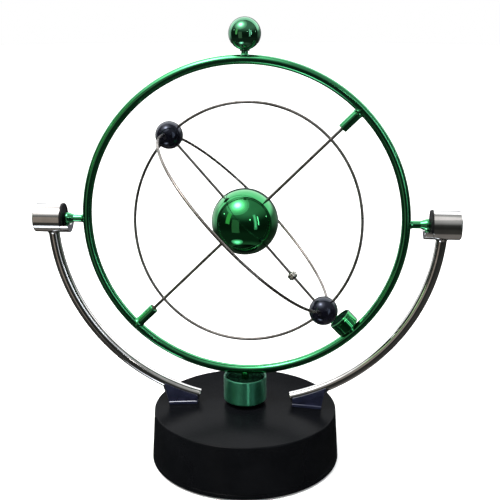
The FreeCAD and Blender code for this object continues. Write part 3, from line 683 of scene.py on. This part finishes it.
def add_cup(side, name):
    """A turned cup: full round outside, half-round lip inside, and the braze under it."""
    way = X_WAY * side
    chamfer = 0.6
    dish_floor, dish_radius = CUP_END - 0.25, 5.0
    full = rounded([(CUP_FACE, 0), (CUP_FACE, CUP_RADIUS, 0.12),
                    (CUP_END - chamfer, CUP_RADIUS, 0.15), (CUP_END, CUP_RADIUS - chamfer, 0.15),
                    (CUP_END, dish_radius + 0.2, 0.1), (dish_floor, dish_radius, 0.1),
                    (dish_floor, 0)], 4)
    body = lathe(full, PIVOT, way, sides=160)
    outer_start = math.asin(CUP_CUT_LEVEL / CUP_RADIUS)
    inner_start = math.asin(CUP_CUT_LEVEL / CUP_BORE)
    section = []
    for angle in evenly(outer_start, -math.pi - outer_start, 48):
        section.append((CUP_RADIUS * math.cos(angle), CUP_RADIUS * math.sin(angle)))
    for angle in evenly(-math.pi - inner_start, inner_start, 20):
        section.append((CUP_BORE * math.cos(angle), CUP_BORE * math.sin(angle)))
    margin = 1.5
    rings = [[PIVOT + way * distance + Y_WAY * y + Z_WAY * z for y, z in section]
             for distance in (CUP_LIP, CUP_LIP + margin, CUP_FACE - margin, CUP_FACE)]
    lip = bevelled(loft(rings), 0.18, 2)
    braze_angle = math.asin(CUP_RADIUS / ARM_RADIUS)
    braze_way = way * math.cos(braze_angle) - Z_WAY * math.sin(braze_angle)
    down = -Z_WAY * math.cos(braze_angle) - way * math.sin(braze_angle)
    braze = weld_fillet(PIVOT + braze_way * ARM_RADIUS, down, ARM_ROD, 0.7, 1.1, sink=0.5)
    add_piece(name + "_cup_body", merged(body, lip, braze), "base", "chrome", [name + "_cup"])


def add_bearing_cap(side, name):
    """The black cap on the cup's cut face, dished round the pin's hole."""
    way = X_WAY * side
    start = CUP_FACE - CAP_THICKNESS
    edge = 0.35
    rim = 1.3
    dish = 0.25
    first = math.asin(CUP_CUT_LEVEL / CAP_RADIUS)
    rings = []
    for distance, radius in ((CUP_FACE, CAP_RADIUS), (start + edge, CAP_RADIUS),
                             (start + 0.1, CAP_RADIUS - 0.1), (start, CAP_RADIUS - edge),
                             (start, CAP_RADIUS - rim), (start + dish, CAP_RADIUS - rim - 0.3)):
        ring = []
        for angle in evenly(first, math.pi - first, 56):
            height = max(math.sin(angle) * radius, CUP_CUT_LEVEL)
            ring.append(PIVOT + way * distance + Y_WAY * math.cos(angle) * radius
                        + Z_WAY * height)
        rings.append(ring)
    disc = loft(rings)
    hole = JOURNAL_RADIUS + 0.06
    front, back = start - 0.02, CUP_FACE + 1
    boss = lathe(rounded([(start + 0.3, hole), (front, hole, 0.1), (front, CUP_BORE, 0.2),
                          (back, CUP_BORE), (back, hole)], 4), PIVOT, way, 72, closed=True)
    add_piece(name + "_cup_cap", merged(disc, boss), "base", "gloss_black",
              [name + "_bearing_cap"], look="cap_black")


# ---- swinging ring ----------------------------------------------------------------------
def add_ring():
    """The round bar bent into a full circle."""
    bar = bent_bar(PIVOT, X_WAY, Z_WAY, RING_RADIUS, RING_ROD, 0, 360, 400, 48)
    add_piece("ring_bar", bar, "swing_ring", "green_metal", ["outer_ring"], weighted=False)


def add_pin(side, name):
    """Pivot pin with its weld at the ring, a flared collar and a thin journal."""
    way = X_WAY * side
    straight = 4
    collar_width = 1.5
    outline = rounded([
        (RING_RADIUS, 0), (RING_RADIUS, PIN_RADIUS), (RING_RADIUS + straight, PIN_RADIUS),
        (COLLAR_START, PIN_RADIUS, 1.2), (COLLAR_END - collar_width, COLLAR_RADIUS, 0.5),
        (COLLAR_END, COLLAR_RADIUS, 0.3), (COLLAR_END, JOURNAL_RADIUS, 0.1),
        (JOURNAL_END, JOURNAL_RADIUS, 0.2), (JOURNAL_END, 0)], 6)
    pin = lathe(outline, PIVOT, way, 72)
    weld = weld_fillet(PIVOT + way * (RING_RADIUS + RING_ROD), way, PIN_RADIUS, 0.55, 1.3,
                       sink=0.45)
    add_piece(name + "_pin", merged(pin, weld), "swing_ring", "green_metal",
              [name + "_pivot_pin"])


def add_top_ball():
    """The ball at the top, turned with a short throat over its stud."""
    throat_radius = STUD_RADIUS + 0.9
    bottom = math.acos(throat_radius / TOP_BALL_RADIUS)
    outline = [(TOP_BALL_RADIUS * math.sin(angle), TOP_BALL_RADIUS * math.cos(angle))
               for angle in evenly(math.pi / 2, -bottom, 48)]
    low = outline[-1][0]
    outline += [(low - 0.35, throat_radius - 0.15), (low - 0.7, throat_radius - 0.2),
                (low - 0.8, throat_radius - 0.45), (low - 0.8, 0)]
    add_piece("top_finial", lathe(outline, TOP_BALL, Z_WAY, 128), "swing_ring",
              "green_plastic", ["top_ball"], look="finial_green")
    start = PIVOT.z + RING_RADIUS
    length = TOP_BALL.z - start - 4
    stud = lathe([(0, 0), (0, STUD_RADIUS), (length, STUD_RADIUS), (length, 0)],
                 Vector((0, 0, start)), Z_WAY, 48)
    weld = weld_fillet(Vector((0, 0, start + RING_ROD)), Z_WAY, STUD_RADIUS, 0.6, 1.2, sink=0.45)
    add_piece("top_finial_stud", merged(stud, weld), "swing_ring", "green_metal",
              ["top_ball_stud"])


def add_drive_housing():
    """The open pot under the ring, with the lid over its magnet and the stem that holds it."""
    bottom, top = HOUSING_LOW.z, HOUSING_HIGH.z
    inner = HOUSING_RADIUS - HOUSING_WALL
    floor = bottom + 1.3
    rim = 0.42
    origin = Vector((0, 0, 0))
    pot = rounded([
        (bottom, 0), (bottom, HOUSING_RADIUS - 3), (bottom, HOUSING_RADIUS, 1.0),
        (bottom + 2.2, HOUSING_RADIUS), (top - 2.4, HOUSING_RADIUS),
        (top, HOUSING_RADIUS, rim), (top, inner, rim), (top - 1.5, inner), (floor, inner),
        (floor, 0)], 7)
    # The pot's look has painted shade in its colour: it is darker than the plating of the ball.
    add_piece("drive_pot", lathe(pot, origin, Z_WAY, 192), "swing_ring", "green_plastic",
              ["drive_magnet_housing"], look="turned_green")
    lid_low, lid_high = (corner.z for corner in box("magnet_housing_lid"))
    lid_edge = inner - 0.05
    groove = lid_high - 0.25
    lid = rounded([
        (lid_low, 0), (lid_low, lid_edge), (lid_high, lid_edge, 0.3),
        (lid_high, inner - 1.6, 0.1), (groove, inner - 1.9, 0.1),
        (groove, 3.8, 0.1), (lid_high, 3.5, 0.1), (lid_high, 0)], 4)
    # The lid's look is painted shade: near-black green for the shade down inside the pot.
    add_piece("drive_pot_lid", lathe(lid, origin, Z_WAY, 144), "swing_ring", "green_plastic",
              ["magnet_housing_lid"], look="pot_inside")
    stem_radius = spread("housing_stem").x / 2
    stem_foot = lid_high - 0.1
    ring_bottom = PIVOT.z - RING_RADIUS
    stem = lathe([(stem_foot, 0), (stem_foot, stem_radius), (ring_bottom, stem_radius),
                  (ring_bottom, 0)], origin, Z_WAY, 64)
    weld = weld_fillet(Vector((0, 0, ring_bottom - RING_ROD)), -Z_WAY, stem_radius, 0.6, 1.1,
                       sink=0.45)
    add_piece("drive_stem", merged(stem, weld), "swing_ring", "green_metal", ["housing_stem"])


def add_side_magnet():
    """The button on the ring beside the lower ball: rounded rims, a turned line near the front,
    a short neck and a face set into the front whose near-black look is painted shade."""
    angle = math.radians(SIDE_ANGLE)
    way = X_WAY * math.cos(angle) - Z_WAY * math.sin(angle)
    face = SIDE_INNER + 0.6
    floor = face + 0.2
    well = SIDE_RADIUS - 1.0
    line, line_half, line_depth = SIDE_INNER + 1.45, 0.15, 0.14
    button = rounded([
        (floor, 0), (floor, well, 0.05), (SIDE_INNER, well, 0.25),
        (SIDE_INNER, SIDE_RADIUS, 0.45), (line - line_half, SIDE_RADIUS, 0.05),
        (line, SIDE_RADIUS - line_depth, 0.05), (line + line_half, SIDE_RADIUS, 0.05),
        (SIDE_OUTER, SIDE_RADIUS, 0.6), (SIDE_OUTER, SIDE_NECK, 0.3),
        (SIDE_OUTER + 0.6, SIDE_NECK), (RING_RADIUS - 1, SIDE_NECK), (RING_RADIUS - 1, 0)], 7)
    add_piece("side_button", lathe(button, PIVOT, way, 144), "swing_ring", "green_plastic",
              ["side_magnet_housing"])
    plug_radius = well - 0.03
    hollow = face + 0.1
    plug = rounded([(floor, 0), (floor, plug_radius), (face, plug_radius, 0.15),
                    (face, well - 1.2, 0.1), (hollow, well - 1.4, 0.1), (hollow, 0)], 4)
    # The face's look is painted shade: near-black green standing in for the shade in the button's
    # well.
    add_piece("side_button_face", lathe(plug, PIVOT, way, 96), "swing_ring", "green_plastic",
              [], look="pot_inside")


def add_post(way, name):
    """A post from the ring towards the middle, bored for the axle, with a weld at its root."""
    seat = POST_END + 1.2
    outline = rounded([
        (seat, 0), (seat, BUSH_RADIUS), (POST_END + 0.25, BUSH_RADIUS, 0.1),
        (POST_END, BUSH_RADIUS + 0.2, 0.08), (POST_END, POST_RADIUS, 0.45),
        (POST_END + 1.6, POST_RADIUS), (RING_RADIUS, POST_RADIUS), (RING_RADIUS, 0)], 6)
    post = lathe(outline, PIVOT, way, 80)
    weld = weld_fillet(PIVOT + way * (RING_RADIUS - RING_ROD), -way, POST_RADIUS, 0.6, 1.5,
                       sink=0.5)
    add_piece(name + "_axle_post", merged(post, weld), "swing_ring", "green_metal",
              [name + "_post"])


# ---- rotor ------------------------------------------------------------------------------
def add_axle():
    """The axle, with rounded ends."""
    edge = 0.25
    outline = rounded([(-AXLE_HALF, 0), (-AXLE_HALF, AXLE_RADIUS, edge),
                       (-ORBIT_RADIUS, AXLE_RADIUS), (0, AXLE_RADIUS), (ORBIT_RADIUS, AXLE_RADIUS),
                       (AXLE_HALF, AXLE_RADIUS, edge), (AXLE_HALF, 0)], 4)
    add_piece("rotor_axle", lathe(outline, PIVOT, AXLE_WAY, 32), "rotor", "dark_wire", ["axle"])


def add_centre_ball():
    """Two half shells that meet in a fine seam through the axle and the cross rod."""
    seam = 0.03
    radius = CENTRE_BALL_RADIUS
    start = math.asin(seam / radius)
    for sense, name in ((1, "rear"), (-1, "front")):
        outline = [(0.02, radius - 1.2), (0.01, radius - 0.05), (seam * 0.6, radius - 0.015)]
        outline += [(radius * math.sin(angle), radius * math.cos(angle))
                    for angle in evenly(start, math.pi / 2, 56)]
        half = lathe(outline, PIVOT, ROTOR_NORMAL * sense, 192)
        add_piece("centre_shell_" + name, half, "rotor", "green_plastic",
                  ["centre_ball_" + name])


def add_small_ball(name, sense):
    """A black ball with a moulded seam, and a dimple round the cross rod."""
    centre = PIVOT + ROD_WAY * (ORBIT_RADIUS * sense)
    inward = ROD_WAY * -sense
    radius = SMALL_BALL_RADIUS
    floor = radius - 0.7
    seam = 0.1
    steps = 22
    dimple = math.acos((ROD_RADIUS + 0.5) / radius)
    outline = [(floor, 0), (floor, ROD_RADIUS + 0.15),
               (radius - 0.12, ROD_RADIUS + 0.35)]
    outline += [(radius * math.sin(angle), radius * math.cos(angle))
                for angle in evenly(dimple, seam / radius, steps)]
    outline.append((0, radius - 0.08))
    outline += [(-radius * math.sin(angle), radius * math.cos(angle))
                for angle in evenly(seam / radius, math.pi / 2, steps)]
    add_piece(name + "_weight_ball", lathe(outline, centre, inward, 96), "rotor", "gloss_black",
              [name + "_ball"])


def solder(centre, along, radius, half):
    """A small bead of solder where two wires cross."""
    last = math.pi / 2 - 0.05
    outline = [(half * math.sin(angle), radius * math.cos(angle) ** 0.8)
               for angle in evenly(-last, last, 10)]
    outline = [(-half, 0)] + outline + [(half, 0)]
    return lathe(outline, centre, along, 20)


def add_wires():
    """The two wire rings, each in two halves that end at the small balls, and the cross rods."""
    seat = math.degrees(2 * math.asin(WIRE_SEAT / (2 * ORBIT_RADIUS)))
    meridian_parts = []
    equator_parts = []
    for start in (0, 180):
        meridian_parts.append(bent_bar(PIVOT, ROD_WAY, AXLE_WAY, ORBIT_RADIUS, WIRE_RADIUS,
                                       start + seat, start + 180 - seat, 160, 20))
        equator_parts.append(bent_bar(PIVOT, ROD_WAY, ROTOR_NORMAL, ORBIT_RADIUS, WIRE_RADIUS,
                                      start + seat, start + 180 - seat, 160, 20))
    for sense in (1, -1):
        meridian_parts.append(solder(PIVOT + AXLE_WAY * (ORBIT_RADIUS * sense), AXLE_WAY,
                                     AXLE_RADIUS + 0.28, 1.25))
    add_piece("meridian_wire", merged(*meridian_parts), "rotor", "dark_wire", ["meridian_ring"],
              weighted=False)
    add_piece("equatorial_wire", merged(*equator_parts), "rotor", "wire_steel",
              ["equatorial_ring"], weighted=False)
    rod_end = ORBIT_RADIUS - WIRE_SEAT
    for sense, name in ((1, "lower"), (-1, "upper")):
        rod = lathe([(2, 0), (2, ROD_RADIUS), (20, ROD_RADIUS), (40, ROD_RADIUS),
                     (rod_end, ROD_RADIUS), (rod_end, 0)], PIVOT, ROD_WAY * sense, 24)
        add_piece(name + "_rod", rod, "rotor", "dark_wire", [name + "_cross_rod"])


def add_bead():
    """The balance bead: a turned nut with chamfered ends and a groove round its middle."""
    bore = ROD_RADIUS + 0.02
    low, high = BEAD_AT - BEAD_HALF, BEAD_AT + BEAD_HALF
    chamfer = 0.9
    groove = 0.25
    outline = rounded([
        (low, bore), (low, BEAD_RADIUS - chamfer, 0.1), (low + chamfer, BEAD_RADIUS, 0.4),
        (BEAD_AT - groove, BEAD_RADIUS, 0.08), (BEAD_AT, BEAD_RADIUS - 0.2, 0.08),
        (BEAD_AT + groove, BEAD_RADIUS, 0.08), (high - chamfer, BEAD_RADIUS, 0.4),
        (high, BEAD_RADIUS - chamfer, 0.1), (high, bore)], 5)
    add_piece("balance_nut", lathe(outline, PIVOT, ROD_WAY, 64, closed=True), "rotor",
              "bead_metal", ["balance_bead"])


# ---- CAD pieces that stay ---------------------------------------------------------------
def dress_cad_nodes():
    """Gives each CAD node that still shows the look of its material slot."""
    slots = {entry["slot"] for entry in frame["record"]["materials"]}
    for node in frame["nodes"].values():
        if node.hide_render:
            continue
        names = [material.name.split(".")[0] for material in node.data.materials if material]
        chosen = [name for name in names if name in slots]
        if chosen:
            node.material_slots[0].link = "OBJECT"
            node.material_slots[0].material = LOOKS[chosen[0]]


# ---- stage ------------------------------------------------------------------------------
def add_camera():
    """In front of the toy, a little to its right and above it."""
    data = bpy.data.cameras.new("camera")
    data.lens = CAMERA_LENS
    data.sensor_width = 36.0
    data.clip_start = 0.01
    camera = bpy.data.objects.new("camera", data)
    bpy.context.scene.collection.objects.link(camera)
    camera.location = CAMERA_PLACE
    camera.rotation_euler = (CAMERA_TARGET - CAMERA_PLACE).to_track_quat("-Z", "Y").to_euler()
    bpy.context.scene.camera = camera


def stage_object(name, mesh, material):
    """An object for the stage round the toy, linked to the scene with its material."""
    made = bpy.data.objects.new(name, mesh)
    bpy.context.scene.collection.objects.link(made)
    mesh.materials.append(material)
    return made


def add_floor():
    """A wide pale sheet.  Mirrors don't see it, so they keep a dark lower half."""
    bm = bmesh.new()
    bmesh.ops.create_circle(bm, cap_ends=True, radius=FLOOR_RADIUS, segments=64)
    mesh = bpy.data.meshes.new("floor")
    bm.to_mesh(mesh)
    bm.free()
    look = Look("floor", Roughness=0.9, Specular_IOR_Level=0.1, Emission_Color=(1, 1, 1, 1),
                Emission_Strength=0.12)
    look.colours(look.noise(6, 2), (0.3, (0.90, 0.90, 0.90)), (0.7, (0.92, 0.92, 0.92)))
    floor = stage_object("floor", mesh, look.material)
    floor.visible_glossy = False


def add_card(name, azimuth, elevation, distance, width, height, colour, strength, oval=True):
    """A glowing card that faces the toy and that only reflections and lighting see.
    Azimuth 0 is in front of the toy, and +90 is on the +X side."""
    a, e = math.radians(azimuth), math.radians(elevation)
    way = Vector((math.sin(a) * math.cos(e), -math.cos(a) * math.cos(e), math.sin(e)))
    centre = PIVOT * MM + way * distance
    facing = way.to_track_quat("Z", "Y").to_matrix()
    bm = bmesh.new()
    if oval:
        corners = [(math.cos(turn) * width / 2, math.sin(turn) * height / 2)
                   for turn in evenly(0, 2 * math.pi, 48)[:-1]]
    else:
        corners = [(-width / 2, -height / 2), (width / 2, -height / 2),
                   (width / 2, height / 2), (-width / 2, height / 2)]
    bm.faces.new([bm.verts.new(centre + facing @ Vector((x, y, 0))) for x, y in corners])
    mesh = bpy.data.meshes.new(name)
    bm.to_mesh(mesh)
    bm.free()
    material = bpy.data.materials.new(name)
    material.use_nodes = True
    shader = material.node_tree.nodes["Principled BSDF"]
    shader.inputs["Base Color"].default_value = (0, 0, 0, 1)
    shader.inputs["Emission Color"].default_value = (*colour, 1)
    shader.inputs["Emission Strength"].default_value = strength
    card = stage_object(name, mesh, material)
    card.visible_camera = False
    card.visible_shadow = False


def add_streak_lamp():
    """A slim lamp that draws the bright line down the drive pot, and lights nothing else."""
    data = bpy.data.lights.new("streak_lamp", "AREA")
    data.shape = "RECTANGLE"
    data.size, data.size_y = STREAK_WIDTH, STREAK_HEIGHT
    data.energy = STREAK_ENERGY
    lamp = bpy.data.objects.new("streak_lamp", data)
    bpy.context.scene.collection.objects.link(lamp)
    angle = math.radians(STREAK_AZIMUTH)
    target = (HOUSING_LOW + HOUSING_HIGH) * 0.5 * MM
    lamp.location = target + Vector((STREAK_DISTANCE * math.sin(angle),
                                     -STREAK_DISTANCE * math.cos(angle), STREAK_RISE))
    lamp.rotation_euler = (lamp.location - target).to_track_quat("Z", "Y").to_euler()
    lit = bpy.data.collections.new("streak_lit")
    lit.objects.link(bpy.data.objects["drive_pot"])
    lamp.light_linking.receiver_collection = lit


def add_soft_lamp(name, azimuth, elevation, width, height, colour, strength, rings):
    """A glow with a soft edge: a stack of cards, each wider and dimmer than the last."""
    for ring in range(rings):
        growth = SOFT_GROWTH ** ring
        add_card(f"{name}_{ring}", azimuth, elevation, SOFT_DISTANCE + SOFT_GAP * ring,
                 width * growth, height * growth, colour, strength * SOFT_FADE ** ring)


def add_sun():
    """Even soft light from above.  It has no reflection of its own."""
    data = bpy.data.lights.new("soft_top", "SUN")
    data.energy = SUN_ENERGY
    data.angle = math.radians(SUN_SOFTNESS)
    sun = bpy.data.objects.new("soft_top", data)
    bpy.context.scene.collection.objects.link(sun)
    sun.rotation_euler = (math.radians(SUN_TILT[0]), math.radians(SUN_TILT[1]), 0)
    sun.visible_glossy = False


class Room:
    """The world: what the mirrors see round the toy, by direction."""

    def __init__(self):
        world = bpy.data.worlds.new("room")
        bpy.context.scene.world = world
        world.use_nodes = True
        self.tree = world.node_tree
        self.background = self.tree.nodes["Background"]
        self.way = self.tree.nodes.new("ShaderNodeTexCoord").outputs["Generated"]
        split = self.tree.nodes.new("ShaderNodeSeparateXYZ")
        self.tree.links.new(self.way, split.inputs["Vector"])
        self.axes = split.outputs
        self.colour = None

    def step(self, value, low, high):
        """A mask that goes smoothly from 0 to 1 between the two values."""
        node = self.tree.nodes.new("ShaderNodeMapRange")
        node.interpolation_type = "SMOOTHSTEP"
        node.inputs["From Min"].default_value = low
        node.inputs["From Max"].default_value = high
        self.tree.links.new(value, node.inputs["Value"])
        return node.outputs["Result"]

    def times(self, first, second):
        """The overlap of two masks."""
        node = self.tree.nodes.new("ShaderNodeMath")
        node.operation = "MULTIPLY"
        self.tree.links.new(first, node.inputs[0])
        self.tree.links.new(second, node.inputs[1])
        return node.outputs[0]

    def cover(self, mask, colour):
        """Lays a colour over the room where the mask is 1."""
        node = self.tree.nodes.new("ShaderNodeMix")
        node.data_type = "RGBA"
        node.inputs[MIX_SECOND].default_value = (*colour, 1)
        if self.colour is None:
            node.inputs[MIX_FIRST].default_value = (*colour, 1)
        else:
            self.tree.links.new(self.colour, node.inputs[MIX_FIRST])
        self.tree.links.new(mask, node.inputs["Factor"])
        self.colour = node.outputs[MIX_RESULT]


def add_room():
    """The room round the toy, in layers: +Y is behind the toy and -Z below it."""
    room = Room()
    x, y, z = room.axes
    noise = room.tree.nodes.new("ShaderNodeTexNoise")
    noise.inputs["Scale"].default_value = 3.0
    room.tree.links.new(room.way, noise.inputs["Vector"])
    patches = noise.outputs["Fac"]
    room.cover(patches, (0.050, 0.049, 0.045))

    under_toy = room.step(z, -0.80, -0.95)
    low_room = room.step(z, -0.50, -0.25)
    upper_patches = room.times(room.step(z, -0.1, 0.1), patches)
    room.cover(under_toy, (0.230, 0.215, 0.200))
    room.cover(low_room, (0.026, 0.028, 0.026))
    room.cover(upper_patches, (0.045, 0.049, 0.046))

    ceiling = room.step(z, 0.15, 0.70)
    bright_ceiling = room.times(room.step(z, 0.55, 0.90), room.step(x, 0.5, -0.6))
    room.cover(ceiling, (0.50, 0.51, 0.50))
    room.cover(bright_ceiling, (0.90, 0.92, 0.90))

    backdrop_edge = room.times(room.step(y, 0.20, 0.24), room.step(z, -0.3, 0.0))
    backdrop = room.times(room.step(y, 0.28, 0.34), room.step(z, -0.42, -0.04))
    backdrop_left = room.times(backdrop, room.step(x, 0.10, -0.50))
    backdrop_high = room.times(backdrop, room.step(z, 0.06, 0.36))
    backdrop_centre = room.times(room.step(y, 0.84, 0.92), room.step(z, 0.48, 0.36))
    room.cover(backdrop_edge, (0.06, 0.06, 0.06))
    room.cover(backdrop, (0.30, 0.32, 0.31))
    room.cover(backdrop_left, (1.05, 1.08, 1.07))
    room.cover(backdrop_high, (2.30, 2.33, 2.36))
    room.cover(backdrop_centre, (0.15, 0.155, 0.17))

    camera_ray = room.tree.nodes.new("ShaderNodeLightPath").outputs["Is Camera Ray"]
    room.cover(camera_ray, (1.0, 1.0, 1.0))
    room.tree.links.new(room.colour, room.background.inputs["Color"])


def add_stage():
    """Camera, floor, light, room, and the lamps and windows that the mirrors show."""
    add_camera()
    add_floor()
    add_sun()
    add_room()
    white = (1.0, 0.98, 0.96)
    cool = (0.85, 0.93, 1.0)
    warm = (1.0, 0.86, 0.72)
    leafy = (0.60, 0.95, 0.45)
    add_soft_lamp("ceiling_lamp", -52, 64, 0.30, 0.26, white, 22.0, 8)
    add_soft_lamp("table_glow", -37, -59, 0.26, 0.15, cool, 6.0, 5)
    add_card("lamp_right", 22.6, 19, 1.5, 0.085, 0.085, white, 12.0)
    add_card("strip_right", 41, 10, 1.6, 0.30, 1.45, cool, 1.0, oval=False)
    add_card("strip_right_core", 41, 12, 1.58, 0.14, 1.15, cool, 2.2, oval=False)
    add_card("window_right", 52, 12, 1.5, 0.07, 0.72, cool, 7.0, oval=False)
    add_card("lamp_far_right", 88, 15, 1.5, 0.09, 0.09, white, 7.0)
    add_card("window_left", -57, 16, 1.5, 0.40, 0.85, leafy, 1.15, oval=False)
    add_card("door_left", -28, -4, 1.6, 0.74, 1.25, warm, 0.32, oval=False)
    add_card("lamp_left", -81, 22, 1.5, 0.12, 0.09, white, 6.0)
    bpy.context.scene.view_settings.view_transform = "Standard"


# ---- everything -------------------------------------------------------------------------
LOOKS = make_looks()
add_stage()
add_base()
for SIDE, NAME in ((1, "right"), (-1, "left")):
    add_saddle(SIDE, NAME)
    add_arm(SIDE, NAME)
    add_cup(SIDE, NAME)
    add_bearing_cap(SIDE, NAME)
    add_pin(SIDE, NAME)
add_ring()
add_top_ball()
add_drive_housing()
add_side_magnet()
for WAY, NAME in ((AXLE_WAY, "upper"), (-AXLE_WAY, "lower")):
    add_post(WAY, NAME)
add_axle()
add_centre_ball()
add_small_ball("lower", 1)
add_small_ball("upper", -1)
add_wires()
add_bead()
add_streak_lamp()
dress_cad_nodes()
